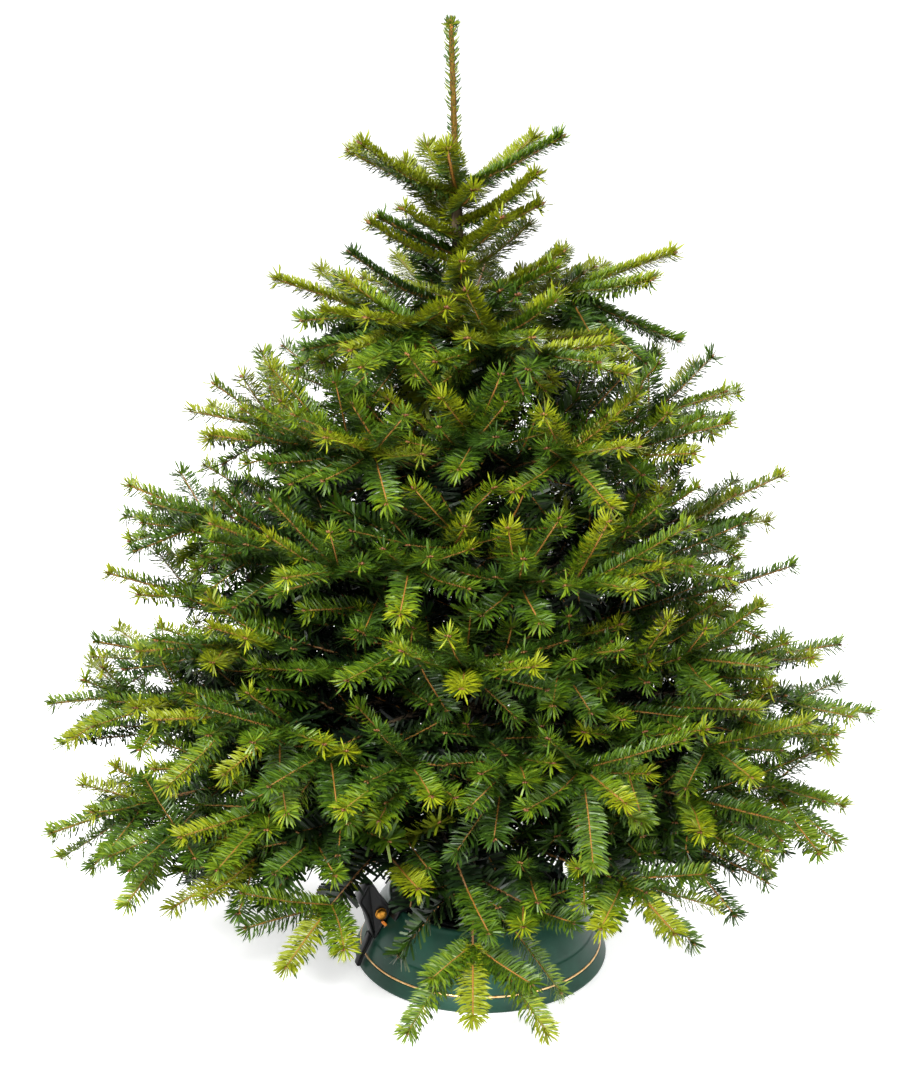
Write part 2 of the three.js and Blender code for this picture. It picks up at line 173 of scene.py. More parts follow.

# ---- colours, as sRGB ----
# From light to dark. needle_piece deals the first seven by each shoot's shade, so lighter greens on
# open shoots are painted light and darker ones inside the crown painted shade.
NEEDLE_TONES = {
    "needle_gold": (0.470, 0.500, 0.050),
    "needle_lime": (0.345, 0.425, 0.045),
    "needle_fresh": (0.245, 0.345, 0.045),
    "needle_mid": (0.165, 0.262, 0.045),
    "needle_deep": (0.108, 0.188, 0.045),
    "needle_dark": (0.060, 0.118, 0.042),
    # painted shade: near-black, for the needles deepest inside the crown
    "needle_shade": (0.022, 0.050, 0.025),
    "needle_pale": (0.190, 0.270, 0.100),
    "needle_olive": (0.445, 0.480, 0.050),
    "needle_moss": (0.335, 0.375, 0.045),
}
TONES = list(NEEDLE_TONES)
FRESH, MID, DARK, SHADE, PALE, OLIVE, MOSS = 2, 3, 5, 6, 7, 8, 9  # places in that list
UNDERSIDE = 108  # needles that lean further down than this show their pale side
TWIG_TONES = {
    "twig_new": (0.520, 0.345, 0.090),
    "twig_tan": (0.400, 0.265, 0.090),
    "twig_brown": (0.210, 0.155, 0.090),
    "twig_old": (0.150, 0.115, 0.080),
}
BUD_TONES = {"bud_brown": (0.360, 0.200, 0.060), "bud_pale": (0.440, 0.290, 0.100)}


# ---- small helpers ----
def seeded(number):
    """A source of random numbers for one job, the same in every run."""
    return np.random.default_rng(SEED + number)


def unit(vector):
    return vector / np.maximum(norm(vector, axis=-1, keepdims=True), 1e-12)


def linear(colour):
    return tuple(c / 12.92 if c <= 0.04045 else ((c + 0.055) / 1.055) ** 2.4 for c in colour)


def node_points(name):
    """The corners of a CAD node's mesh."""
    node = frame["nodes"][name]
    points = np.empty(len(node.data.vertices) * 3, np.float32)
    node.data.vertices.foreach_get("co", points)
    turn = np.array(node.matrix_world)
    return points.reshape(-1, 3) @ turn[:3, :3].T + turn[:3, 3]


def nodes_of(start):
    return sorted(name for name in frame["nodes"] if name.startswith(start))


def add_object(name, data):
    """A new object in the scene, for a mesh, a light or a camera."""
    added = bpy.data.objects.new(name, data)
    bpy.context.collection.objects.link(added)
    return added


def make_mesh(name, points, faces, materials, slots=None, smooth=False):
    """An object from arrays. faces is a list of arrays, each of faces with the same corner count."""
    mesh = bpy.data.meshes.new(name)
    sizes = np.concatenate([np.full(len(f), f.shape[1]) for f in faces])
    corners = np.concatenate([f.ravel() for f in faces])
    mesh.vertices.add(len(points))
    mesh.vertices.foreach_set("co", np.asarray(points, np.float32).ravel())
    mesh.loops.add(len(corners))
    mesh.loops.foreach_set("vertex_index", corners.astype(np.int32))
    mesh.polygons.add(len(sizes))
    mesh.polygons.foreach_set("loop_start", (np.cumsum(sizes) - sizes).astype(np.int32))
    for material in materials:
        mesh.materials.append(material)
    if slots is not None:
        mesh.polygons.foreach_set("material_index", slots.astype(np.int32))
    mesh.update(calc_edges=True)
    mesh.validate()
    mesh.polygons.foreach_set("use_smooth", np.full(len(mesh.polygons), smooth))
    return add_object(name, mesh)


def plain_material(name, colour, roughness, **sockets):
    """A material of one colour, with its numbers on the shader's own sockets."""
    material = bpy.data.materials.new(name)
    material.use_nodes = True
    shader = material.node_tree.nodes["Principled BSDF"]
    shader.inputs["Base Color"].default_value = (*linear(colour), 1)
    shader.inputs["Roughness"].default_value = roughness
    for socket, value in sockets.items():
        shader.inputs[socket.replace("_", " ")].default_value = value
    return material


# ---- the trunk's line ----
TRUNK = node_points("trunk")
TRUNK_LINE = [np.polyfit(TRUNK[:, 2], TRUNK[:, i], 1) for i in (0, 1)]
TRUNK_FOOT, TRUNK_TOP = TRUNK[:, 2].min(), TRUNK[:, 2].max()


def trunk_at(height):
    """The trunk's axis at a height, as x and y."""
    return np.stack([np.polyval(line, height) for line in TRUNK_LINE], -1)


def trunk_rings():
    """Heights of the CAD trunk's rings, and the radius at each."""
    heights = np.unique(TRUNK[:, 2].round(4))
    from_axis = norm(TRUNK[:, :2] - trunk_at(TRUNK[:, 2]), axis=1)
    radii = [from_axis[np.abs(TRUNK[:, 2] - h) < 2e-4].max() for h in heights]
    return heights, np.array(radii)


RING_HEIGHTS, RING_RADII = trunk_rings()


def trunk_radius(height):
    return np.interp(height, RING_HEIGHTS, RING_RADII)


# ---- grained materials ----
def grained_material(name, dark, light, roughness, grain, relief, stretch, **sockets):
    """A material whose colour, roughness and surface all vary with noise of one grain size."""
    material = plain_material(name, light, roughness[0], **sockets)
    nodes, links = material.node_tree.nodes, material.node_tree.links
    shader = nodes["Principled BSDF"]
    place = nodes.new("ShaderNodeTexCoord")
    mapping = nodes.new("ShaderNodeMapping")
    mapping.inputs["Scale"].default_value = stretch
    links.new(place.outputs["Object"], mapping.inputs["Vector"])
    broad, fine = nodes.new("ShaderNodeTexNoise"), nodes.new("ShaderNodeTexNoise")
    for noise, scale, detail in ((broad, 1 / grain, 6), (fine, 9 / grain, 4)):
        noise.inputs["Scale"].default_value = scale
        noise.inputs["Detail"].default_value = detail
        links.new(mapping.outputs["Vector"], noise.inputs["Vector"])
    ramp = nodes.new("ShaderNodeValToRGB")
    ramp.color_ramp.elements[0].position = 0.36
    ramp.color_ramp.elements[0].color = (*linear(dark), 1)
    ramp.color_ramp.elements[1].position = 0.64
    ramp.color_ramp.elements[1].color = (*linear(light), 1)
    links.new(broad.outputs["Fac"], ramp.inputs["Fac"])
    links.new(ramp.outputs["Color"], shader.inputs["Base Color"])
    sheen = nodes.new("ShaderNodeMapRange")
    sheen.inputs["To Min"].default_value = roughness[0]
    sheen.inputs["To Max"].default_value = roughness[1]
    links.new(broad.outputs["Fac"], sheen.inputs["Value"])
    links.new(sheen.outputs["Result"], shader.inputs["Roughness"])
    bump = nodes.new("ShaderNodeBump")
    bump.inputs["Strength"].default_value = 0.6
    bump.inputs["Distance"].default_value = relief
    links.new(fine.outputs["Fac"], bump.inputs["Height"])
    links.new(bump.outputs["Normal"], shader.inputs["Normal"])
    return material


GRAINED = {
    # name: dark and light colour, roughness, size of the grain, relief, and what else differs
    "green_plastic": ((0.088, 0.215, 0.168), (0.110, 0.250, 0.198), (0.30, 0.42), 0.030, 0.00012),
    "black_plastic": ((0.026, 0.028, 0.032), (0.050, 0.053, 0.058), (0.28, 0.46), 0.012, 0.0001),
    "gold_line": ((0.800, 0.600, 0.360), (0.930, 0.780, 0.560), (0.25, 0.40), 0.008, 0.00005),
    "brass": ((0.560, 0.370, 0.110), (0.780, 0.550, 0.200), (0.28, 0.45), 0.005, 0.00008),
    "orange_plastic": ((0.860, 0.470, 0.110), (0.930, 0.570, 0.170), (0.35, 0.50), 0.006, 0.00005),
    "wire": ((0.560, 0.400, 0.340), (0.740, 0.590, 0.530), (0.30, 0.45), 0.003, 0.00003),
    "rough_bark": ((0.150, 0.120, 0.070), (0.320, 0.260, 0.160), (0.75, 0.95), 0.016, 0.0012),
    "young_bark": ((0.230, 0.155, 0.012), (0.350, 0.255, 0.026), (0.65, 0.85), 0.006, 0.0004),
    "cut_wood": ((0.560, 0.440, 0.290), (0.720, 0.600, 0.420), (0.70, 0.90), 0.004, 0.0003),
}
STRETCH = {"rough_bark": (1.6, 1.6, 0.8), "young_bark": (2, 2, 0.7)}
METALLIC = {"gold_line": 0.55, "brass": 0.85, "wire": 0.6}
SPECULAR = {"green_plastic": 0.22, "black_plastic": 0.22, "young_bark": 0.2}


def make_grained_materials():
    for name, values in GRAINED.items():
        stretch = STRETCH.get(name, (1, 1, 1))
        sockets = {"Metallic": METALLIC.get(name, 0), "Specular_IOR_Level": SPECULAR.get(name, 0.5)}
        grained_material(name, *values, stretch, **sockets)


# ---- shapes of the made pieces ----
SEGMENTS = 120  # round the stand


def rounded(points, radius, closed, steps=3):
    """A polyline with its corners rounded off."""
    points = np.asarray(points, float)
    smooth = []
    for i, corner in enumerate(points):
        if not closed and i in (0, len(points) - 1):
            smooth.append(corner)
            continue
        before = points[i - 1] - corner
        after = points[(i + 1) % len(points)] - corner
        first = corner + unit(before) * min(radius, 0.45 * norm(before))
        last = corner + unit(after) * min(radius, 0.45 * norm(after))
        for t in np.linspace(0, 1, steps + 1):
            smooth.append((1 - t) ** 2 * first + 2 * t * (1 - t) * corner + t**2 * last)
    return np.array(smooth)


def settle(piece, material, slot, *replaced):
    """Gives a made piece its material and its body, and hides the CAD nodes that it stands for."""
    piece.data.materials.append(bpy.data.materials[material])
    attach(piece, "root")
    if replaced:
        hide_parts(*replaced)
    return piece


def black_piece(name, build, turn=0.0, *replaced):
    settle(piece_from(name, build, turn), "black_plastic", "stand_black", *replaced)


def piece_from(name, build, turn=0.0):
    """An object from a bmesh, turned round Z by degrees, with soft shading over shallow angles."""
    bmesh.ops.remove_doubles(build, verts=build.verts, dist=1e-6)
    bmesh.ops.recalc_face_normals(build, faces=build.faces)
    build.transform(Matrix.Rotation(math.radians(turn), 4, "Z"))
    mesh = bpy.data.meshes.new(name)
    for face in build.faces:
        face.smooth = True
    for edge in build.edges:
        edge.smooth = len(edge.link_faces) < 2 or edge.calc_face_angle(0) < math.radians(32)
    build.to_mesh(mesh)
    build.free()
    return add_object(name, mesh)


def lathe(profile, closed, segments=SEGMENTS, ribs=0, rib_height=0.0):
    """A body of revolution from (radius, height) points. Ribs run up it where they are asked for."""
    turn = np.linspace(0, 2 * math.pi, segments, endpoint=False)
    wave = 1 + rib_height * np.cos(ribs * turn) if ribs else np.ones(segments)
    radius = wave[:, None] * profile[None, :, 0]
    height = np.broadcast_to(profile[:, 1], radius.shape)
    points = np.stack([radius * np.cos(turn)[:, None], radius * np.sin(turn)[:, None], height], -1)
    build = bmesh.new()
    rows = [[build.verts.new(point) for point in row] for row in points]
    steps = len(profile) if closed else len(profile) - 1
    for i, row in enumerate(rows):
        other = rows[(i + 1) % segments]
        for j in range(steps):
            k = (j + 1) % len(profile)
            build.faces.new((row[j], other[j], other[k], row[k]))
    return build


def plate(outline, width, edge, hollow=0.0, rim=0.0032):
    """A side outline of (distance out, height), made width thick, with soft edges.

    A hollow sinks each face inside a rim, as on a moulded lever."""
    build = bmesh.new()
    face = build.faces.new([build.verts.new((x, -width / 2, z)) for x, z in outline])
    grown = bmesh.ops.extrude_face_region(build, geom=[face])["geom"]
    other = [item for item in grown if isinstance(item, bmesh.types.BMFace)][0]
    bmesh.ops.translate(build, verts=other.verts, vec=(0, width, 0))
    bmesh.ops.recalc_face_normals(build, faces=build.faces)
    if hollow:
        for cap in [item for item in build.faces if len(item.verts) == len(outline)]:
            bmesh.ops.inset_region(build, faces=[cap], thickness=rim, depth=0)
            bmesh.ops.inset_region(build, faces=[cap], thickness=0.0007, depth=-hollow)
    build.edges.ensure_lookup_table()
    sharp = [item for item in build.edges if item.calc_face_angle(0) > math.radians(50)]
    bmesh.ops.bevel(build, geom=sharp, offset=edge, segments=2, profile=0.5, affect="EDGES")
    caps = [item for item in build.faces if len(item.verts) > 4]
    bmesh.ops.triangulate(build, faces=caps)
    return build


# ---- the stand ----
def make_shell():
    """The round shell: a foot, a grooved flank, a crease, a domed shoulder and a rolled rim."""
    _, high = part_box("stand_shell")
    stripe_low, stripe_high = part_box("stand_stripe")
    _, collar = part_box("stand_collar")
    radius, top = high[0], high[2]
    rim, mouth = collar[0] + 0.0115, collar[0] + 0.0003
    crease_radius, crease = 0.894 * radius, 0.455 * top
    foot = 0.005
    slope = (radius - crease_radius) / (crease - foot)
    line_low = stripe_low[2] - 0.0003
    line_high = stripe_high[2] + 0.0003

    def flank(height):
        return radius - slope * (height - foot)

    outside = [
        (0, 0), (radius - 0.006, 0), (radius - 0.001, 0.0012), (radius, foot),
        (flank(line_low), line_low), (flank(line_low) - 0.0018, line_low + 0.0004),
        (flank(line_high) - 0.0018, line_high - 0.0004), (flank(line_high), line_high),
        (crease_radius + 0.0012, crease - 0.0006), (crease_radius - 0.0008, crease + 0.0012),
    ]
    shoulder = []
    for share in np.linspace(0.12, 1, 9):
        bulge = 0.0035 * math.sin(math.pi * share)
        across = crease_radius - (crease_radius - rim) * share + 0.8 * bulge
        shoulder.append((across, crease + (top - 0.006 - crease) * share + 0.5 * bulge))
    inside = [
        (rim - 0.0025, top - 0.0015), (rim - 0.0055, top), (mouth + 0.0025, top - 0.0008),
        (mouth, top - 0.005), (mouth + 0.0025, top - 0.015),
        (crease_radius - 0.005, crease), (radius - 0.013, 0.006), (0, 0.006),
    ]
    profile = rounded([*outside, *shoulder, *inside], 0.0016, False)
    settle(piece_from("shell", lathe(profile, False)), "green_plastic", "stand_green", "stand_shell")

    line_low, line_high = line_low + 0.0007, line_high - 0.0007
    ring = [
        (flank(line_low) - 0.0012, line_low), (flank(line_low) + 0.0002, line_low),
        (flank(line_high) + 0.0002, line_high), (flank(line_high) - 0.0012, line_high),
    ]
    ring = rounded(ring, 0.0012, True)
    settle(piece_from("gold_ring", lathe(ring, True)), "gold_line", "stripe_gold", "stand_stripe")


def make_bowl():
    """The water bowl, and the ledge that closes the gap round it."""
    low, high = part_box("stand_bowl")
    radius, foot, top = high[0], low[2], high[2]
    wall = 0.0036
    bowl = [
        (0, foot), (radius - 0.003, foot), (radius, foot + 0.003), (radius, top - 0.001),
        (radius - 0.001, top), (radius - wall + 0.001, top), (radius - wall, top - 0.001),
        (radius - wall - 0.0015, foot + 0.010), (radius - wall - 0.006, foot + 0.005),
        (0, foot + 0.005),
    ]
    build = lathe(rounded(bowl, 0.002, False), False)
    black_piece("water_bowl", build, 0, "stand_bowl")

    low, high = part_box("stand_collar")
    outer, foot, top = high[0], low[2], high[2]
    inner = radius + 0.0004
    ledge = [
        (inner, foot), (outer - 0.001, foot), (outer, foot + 0.002), (outer, top - 0.0035),
        (outer - 0.003, top - 0.0006), (outer - 0.0075, top - 0.003), (inner + 0.0055, top - 0.0038),
        (inner + 0.003, top - 0.0004), (inner + 0.0008, top), (inner, top - 0.002),
    ]
    build = lathe(rounded(ledge, 0.0012, True), True)
    black_piece("ledge", build, 0, "stand_collar")


def make_claws():
    """The ring in the mouth of the bowl and the four arms that grip the trunk."""
    low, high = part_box("stand_claws")
    outer, foot, top = high[0], low[2], high[2]
    inner = outer - 0.009
    ring = [(inner, foot), (outer, foot), (outer, foot + 0.012), (inner, foot + 0.012)]
    build = lathe(rounded(ring, 0.002, True), True)
    black_piece("claw_ring", build, 0, "stand_claws")
    grip = trunk_radius(0.09) + 0.001
    arm = [
        (inner + 0.004, foot + 0.002), (inner + 0.004, foot + 0.010), (0.072, top - 0.0005),
        (0.050, top), (0.036, top - 0.0005), (grip, top - 0.007), (grip, foot + 0.002),
        (0.034, foot + 0.008), (0.068, foot + 0.012), (inner - 0.006, foot + 0.002),
    ]
    arm = rounded(arm, 0.004, True)
    for i in range(4):
        build = plate(arm, 0.013, 0.0009, hollow=0.0022, rim=0.0024)
        black_piece(f"claw_{i + 1}", build, 45 + 90 * i)
        pin = lathe(np.array([(0, 0), (0.0035, 0), (0.0035, 0.016), (0, 0.016)]), False, 20)
        place = Matrix.Translation((inner - 0.004, 0.008, foot + 0.006))
        pin.transform(place @ Matrix.Rotation(math.pi / 2, 4, "X"))
        settle(piece_from(f"claw_pin_{i + 1}", pin, 45 + 90 * i), "brass", "knob_brass")


LEVER_TURN = 200  # degrees round the stand
SADDLE_TURN = 207
KNOB = (0.1615, 0.0133, 0.094)  # the middle of its foot, just off the pedal's side
LATCH = (0.1575, 0.0153, 0.0785)  # its middle


def make_lever():
    """The foot lever: a hollow-sided pedal that fans out, its bar, and the saddle over the rim."""
    pedal = [
        (0.1725, 0.0515), (0.1765, 0.064), (0.183, 0.092), (0.189, 0.105), (0.196, 0.117),
        (0.180, 0.145), (0.170, 0.1405), (0.1585, 0.118), (0.1465, 0.102), (0.146, 0.095),
        (0.1535, 0.081), (0.165, 0.062),
    ]
    build = plate(rounded(pedal, 0.005, True), 0.0255, 0.0011, hollow=0.0016)
    black_piece("lever_pedal", build, LEVER_TURN, "stand_lever")
    bar = [
        (0.1715, 0.052), (0.175, 0.045), (0.1858, 0.025), (0.1922, 0.0085), (0.1985, 0.0105),
        (0.1922, 0.028), (0.183, 0.047), (0.1765, 0.061),
    ]
    build = plate(rounded(bar, 0.003, True), 0.0118, 0.0009, hollow=0.0008, rim=0.0016)
    black_piece("lever_bar", build, LEVER_TURN)
    saddle = [
        (0.1135, 0.1018), (0.139, 0.1018), (0.1438, 0.0968), (0.1478, 0.089), (0.151, 0.090),
        (0.1472, 0.0982), (0.143, 0.1095), (0.118, 0.1095), (0.1135, 0.106),
    ]
    build = plate(rounded(saddle, 0.002, True), 0.0335, 0.0009)
    black_piece("lever_saddle", build, SADDLE_TURN)
    make_knob()
    make_latch()


def make_knob():
    """A domed brass nut on a washer, at the end of the pedal's pivot."""
    dome = [(0, 0), (0.0088, 0), (0.0088, 0.0009), (0.0076, 0.0012), (0.0078, 0.0042)]
    dome += [(0.0072, 0.0056), (0.0054, 0.0066), (0.0028, 0.0071), (0, 0.0072)]
    nut = lathe(rounded(dome, 0.0006, False), False, 96, ribs=8, rib_height=0.022)
    nut.transform(Matrix.Translation(KNOB) @ Matrix.Rotation(-math.pi / 2, 4, "X"))
    settle(piece_from("knob", nut, LEVER_TURN), "brass", "knob_brass", "lever_knob")


def make_latch():
    """The orange catch below the knob, and the thin wire loop at its end."""
    strip = [
        (-0.0050, -0.0022), (0.0046, -0.0022), (0.0050, 0.0), (0.0046, 0.0022), (-0.0050, 0.0022),
    ]
    build = plate(rounded(strip, 0.0012, True), 0.0038, 0.0004)
    build.transform(Matrix.Translation(LATCH) @ Matrix.Rotation(math.radians(-49), 4, "Y"))
    settle(piece_from("latch", build, LEVER_TURN), "orange_plastic", "latch_orange", "lever_latch")
    turn = np.linspace(-0.2, 1.25 * math.pi, 16)
    across, height = 0.1535 - 0.0042 * np.cos(turn), 0.0735 - 0.0042 * np.sin(turn)
    loop = np.stack([across, np.full(16, 0.0158), height], -1)
    points, faces, _ = tube_mesh(loop[None], np.full((1, 16), 0.0005), 6)
    wire = make_mesh("latch_wire", points, [faces], [], smooth=True)
    wire.data.transform(Matrix.Rotation(math.radians(LEVER_TURN), 4, "Z"))
    settle(wire, "wire", "latch_orange")


# ---- bark ----
def bark_relief(rng, turn, along, waves=22, rate=260):
    """Uneven bark over an angle round the stem and a distance along it, from about -1 to 1."""
    relief = np.zeros(np.broadcast(turn, along).shape)
    for _ in range(waves):
        round_count = rng.integers(0, 9)
        way = rng.normal(0, rate) * along
        relief += np.cos(round_count * turn + way + rng.uniform(0, 2 * math.pi))
    relief /= math.sqrt(waves / 2)
    ridges = np.abs(np.cos(4 * turn + 30 * along + 0.8 * relief))
    return 0.5 * relief + 0.5 * ridges - 0.3


def make_trunk():
    """The trunk's bark from the saw cut to the top whorl, and the young leader above it."""
    rng = seeded(80)
    neck = RING_HEIGHTS[-3]
    heights = np.linspace(TRUNK_FOOT, neck, TRUNK_RINGS)
    turn = np.linspace(0, 2 * math.pi, TRUNK_SIDES, endpoint=False)
    knots = RING_HEIGHTS[1:-2]
    collar = np.exp(-(((heights[:, None] - knots) / 0.012) ** 2)).sum(1)
    swell = 1 + 0.10 * collar[:, None] * (0.6 + 0.4 * np.cos(5 * turn + 3))
    relief = bark_relief(rng, turn[None, :], heights[:, None])
    radii = trunk_radius(heights)[:, None] * swell * (1 + 0.055 * relief)
    line = np.column_stack([trunk_at(heights), heights])
    points, faces, index = tube_mesh(line[None], radii[None], TRUNK_SIDES)
    bark = make_mesh("trunk_bark", points, [faces], [], smooth=True)
    settle(bark, "rough_bark", "bark", "trunk")
    underside = np.arange(TRUNK_SIDES)[::-1][None]
    disc = make_mesh("saw_cut", points[index[0, 0]], [underside], [])
    settle(disc, "cut_wood", "bark")

    heights = np.linspace(neck, TRUNK_TOP, 60)
    radii = np.interp(heights, [neck, neck + 0.02, TRUNK_TOP], [0.0058, 0.0046, 0.0034])
    radii = radii[:, None] * (1 + 0.12 * bark_relief(rng, turn[None, ::3], heights[:, None]))
    line = np.column_stack([trunk_at(heights), heights])
    points, faces, index = tube_mesh(line[None], radii[None], radii.shape[1])
    leader = make_mesh("leader_stem", points, [faces, index[:, -1]], [], smooth=True)
    settle(leader, "young_bark", "bark")


def make_limbs(tree):
    """The bark of the main boughs, from the trunk to where their young wood starts."""
    rng = seeded(81)
    lines, radii = [], []
    turn = np.linspace(0, 2 * math.pi, LIMB_SIDES, endpoint=False)
    for route, thickness in tree.limbs:
        along = np.concatenate([[0], np.cumsum(norm(np.diff(route, axis=0), axis=1))])
        share = np.linspace(0, along[-1], LIMB_RINGS)
        lines.append(np.stack([np.interp(share, along, route[:, k]) for k in range(3)], -1))
        thick = np.interp(share, along, thickness)[:, None]
        radii.append(thick * (1 + 0.10 * bark_relief(rng, turn[None, :], share[:, None], 12, 70)))
    points, faces, _ = tube_mesh(np.array(lines), np.array(radii), LIMB_SIDES)
    limbs = make_mesh("limb_bark", points, [faces], [], smooth=True)
    settle(limbs, "rough_bark", "bark", *nodes_of("bough_"))


# ---- growth ----
class Crown:
    """Every shoot of the tree. Each is one year's growth of one axis."""

    def __init__(self):
        self.shoots = []  # of each its line, upper side, radii, age and CAD mass
        self.limbs = []
        self.middles = np.empty((MOST_SHOOTS, 3))
        self.ends = np.empty((MOST_SHOOTS, 3))
        self.old = np.zeros(MOST_SHOOTS, bool)

    def add(self, line, up, radii, age, home):
        number = len(self.shoots)
        self.middles[number] = line[STEPS // 2]
        self.ends[number] = line[-1]
        self.old[number] = age > 0
        self.shoots.append((line, up, radii, age, home))

    def closed(self, line):
        """Whether a shoot would stand in one of the spaces that are kept open."""
        for start, way, width in CLEAR:
            for point in line[STEPS // 2 :: STEPS // 2]:
                along = np.clip((point - start) @ way, 0, CLEAR_LENGTH)
                if norm(point - start - along * way) < width:
                    return True
        return False

    def nearest(self, point):
        """How far a point is from the middle of the nearest shoot."""
        return np.sqrt(((self.middles[: len(self.shoots)] - point) ** 2).sum(1).min())


def twig_radius(years_left, order):
    """How thick an axis is where this many years of growth lie beyond it."""
    return 0.0014 + 0.00052 * years_left**1.25 - 0.0001 * order


def shoot_line(start, heading, bend, length):
    """Points along one year's growth, which leaves along heading and turns by bend."""
    share = np.linspace(0, 1, STEPS + 1)[:, None]
    return start + length * (share * heading + 0.5 * share**2 * bend)


def square_to(heading, up):
    """The direction nearest to up that is square to heading."""
    return unit(up - heading * (up @ heading))


def grow_axis(rng, tree, home, start, heading, up, reach, years, order, lift):
    """A side axis with, on the first two orders, side axes of its own."""
    length = reach / years
    outward = heading.copy()
    for year in range(years):
        left = years - 1 - year
        bend = lift * UP + rng.normal(0, 0.10, 3)
        line = shoot_line(start, heading, bend, length * rng.uniform(0.88, 1.12))
        if year == 0 and tree.nearest(line[STEPS // 2]) < ROOM or tree.closed(line):
            return
        radii = (twig_radius(left + 0.8, order), twig_radius(left, order))
        tree.add(line, up, radii, left, home)
        start = line[-1]
        heading = unit(heading + bend * 0.6 + outward * 0.2)
        up = square_to(heading, up)
        if left > 0 and order < 3:
            grow_pair(rng, tree, home, start, heading, up, length, left, order, lift)
            grow_short(rng, tree, home, line, heading, up, order, lift)


def grow_pair(rng, tree, home, start, heading, up, length, left, order, lift):
    """The two side axes at the end of one year's growth, with as many years left to grow."""
    side = np.cross(heading, up)
    for hand in (-1, 1):
        angle = math.radians(SIDE_ANGLE + rng.normal(0, 5))
        tilt = rng.normal(0.02, 0.16)
        stretch = rng.uniform(0.85, 1.12)
        if rng.random() > PAIR_KEPT and left > 1:
            continue
        away = unit(math.cos(angle) * heading + hand * math.sin(angle) * side + tilt * up)
        reach = SIDE_SHARE * length * left**0.86 * stretch
        grow_axis(rng, tree, home, start, away, square_to(away, up), reach, left, order + 1, lift)


def grow_short(rng, tree, home, line, heading, up, order, lift):
    """Short shoots from along a year's growth, to its sides and above it."""
    side = np.cross(heading, up)
    for _ in range(rng.integers(0, 3)):
        place = line[rng.integers(1, STEPS)]
        turn = math.radians(rng.uniform(-80, 80))
        away = unit(0.8 * heading + math.sin(turn) * side + 0.75 * math.cos(turn) * up)
        reach = rng.uniform(*SHORT_SHOOT)
        grow_axis(rng, tree, home, place, away, square_to(away, up), reach, 1, order + 1, lift)


def grow_bough(rng, tree, home, route, year=YEAR, lift=0.06, droop=0.0, stout=1.0):
    """A main bough along its route, with side axes at the end of every year's growth."""
    along = np.concatenate([[0], np.cumsum(norm(np.diff(route, axis=0), axis=1))])
    years = max(1, round(along[-1] / year))
    ends = np.linspace(0, along[-1], years + 1)
    ends[1:-1] += rng.normal(0, 0.05 * along[-1] / years, years - 1)
    if years > LIMB_YOUNG:
        old = along <= ends[years - LIMB_YOUNG]
        left = years - np.interp(along[old], ends, np.arange(years + 1))
        tree.limbs.append((route[old], 1.12 * stout * twig_radius(left, 1)))
    for i in range(years):
        left = years - 1 - i
        share = np.linspace(ends[i], ends[i + 1], STEPS + 1)
        line = np.stack([np.interp(share, along, route[:, k]) for k in range(3)], -1)
        heading = unit(line[-1] - line[0])
        up = square_to(heading, UP)
        radii = (stout * twig_radius(left + 1, 1), stout * twig_radius(left, 1))
        tree.add(line, up, radii, left, home)
        if left > 0:
            length = ends[i + 1] - ends[i]
            hang = lift - droop * left
            grow_pair(rng, tree, home, line[-1], heading, up, length, left, 1, hang)
            grow_short(rng, tree, home, line, heading, up, 1, hang)


def mass_route(mass, limb=None):
    """The middle of a bough's CAD solids, from the trunk's axis to just short of its tip."""
    points = node_points(mass)
    if limb:
        points = np.vstack([points, node_points(limb)])
    offset = points[:, :2] - trunk_at(points[:, 2])
    tip = norm(offset, axis=1).argmax()
    heading = unit(offset[tip])
    along = offset @ heading
    across = offset @ np.array([-heading[1], heading[0]])
    weight = np.exp(-((across / 0.03) ** 2)) + 1e-3
    weight[tip] = 6
    curve = np.polyfit(along, points[:, 2], 2, w=weight)
    reach = np.linspace(0, along[tip] - 0.7 * NEEDLE_LENGTH, 24)
    height = np.polyval(curve, reach)
    return np.column_stack([trunk_at(height) + reach[:, None] * heading, height])


def crown_corners():
    """Height, direction and reach of every corner of the CAD masses."""
    points = np.vstack([node_points(name) for name in nodes_of("needles_")])
    offset = points[:, :2] - trunk_at(points[:, 2])
    reach = norm(offset, axis=1)
    return points[:, 2], np.arctan2(offset[:, 1], offset[:, 0]), reach


CORNER_HEIGHT, CORNER_TURN, CORNER_REACH = crown_corners()


def crown_reach(height, turn):
    """How far the crown reaches from the trunk at a height, in a direction."""
    apart = np.abs((CORNER_TURN - turn + math.pi) % (2 * math.pi) - math.pi)
    tall = np.interp(height, *WHORL_BLEND)
    near = np.exp(-(((CORNER_HEIGHT - height) / tall) ** 2) - (apart / 0.9) ** 2)
    return (CORNER_REACH * near).max()


def grow_whorls(tree):
    """The main boughs, one along each CAD mass."""
    for number, (whorl, (year, lift, droop, stout)) in enumerate(WHORLS.items()):
        rng = seeded(number)
        for name in nodes_of(f"needles_{whorl}_"):
            limb = name.replace("needles_", "bough_")
            route = mass_route(name, limb if limb in frame["nodes"] else None)
            grow_bough(rng, tree, name, route, year, lift, droop, stout)


def grow_leader(tree):
    """The one shoot at the top of the tree, with short needles pressed up along it."""
    low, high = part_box("needles_leader")
    top = high[2] - 0.35 * NEEDLE_LENGTH
    heights = np.linspace(low[2], top, 3 * STEPS + 1)
    line = np.column_stack([trunk_at(heights), heights])
    radii = np.linspace(0.0044, 0.0032, 4)
    for i in range(3):
        piece = line[i * STEPS : (i + 1) * STEPS + 1]
        ends = (radii[i], radii[i + 1])
        tree.add(piece, np.array([0.0, -1.0, 0.0]), ends, int(i != 2), "needles_leader")


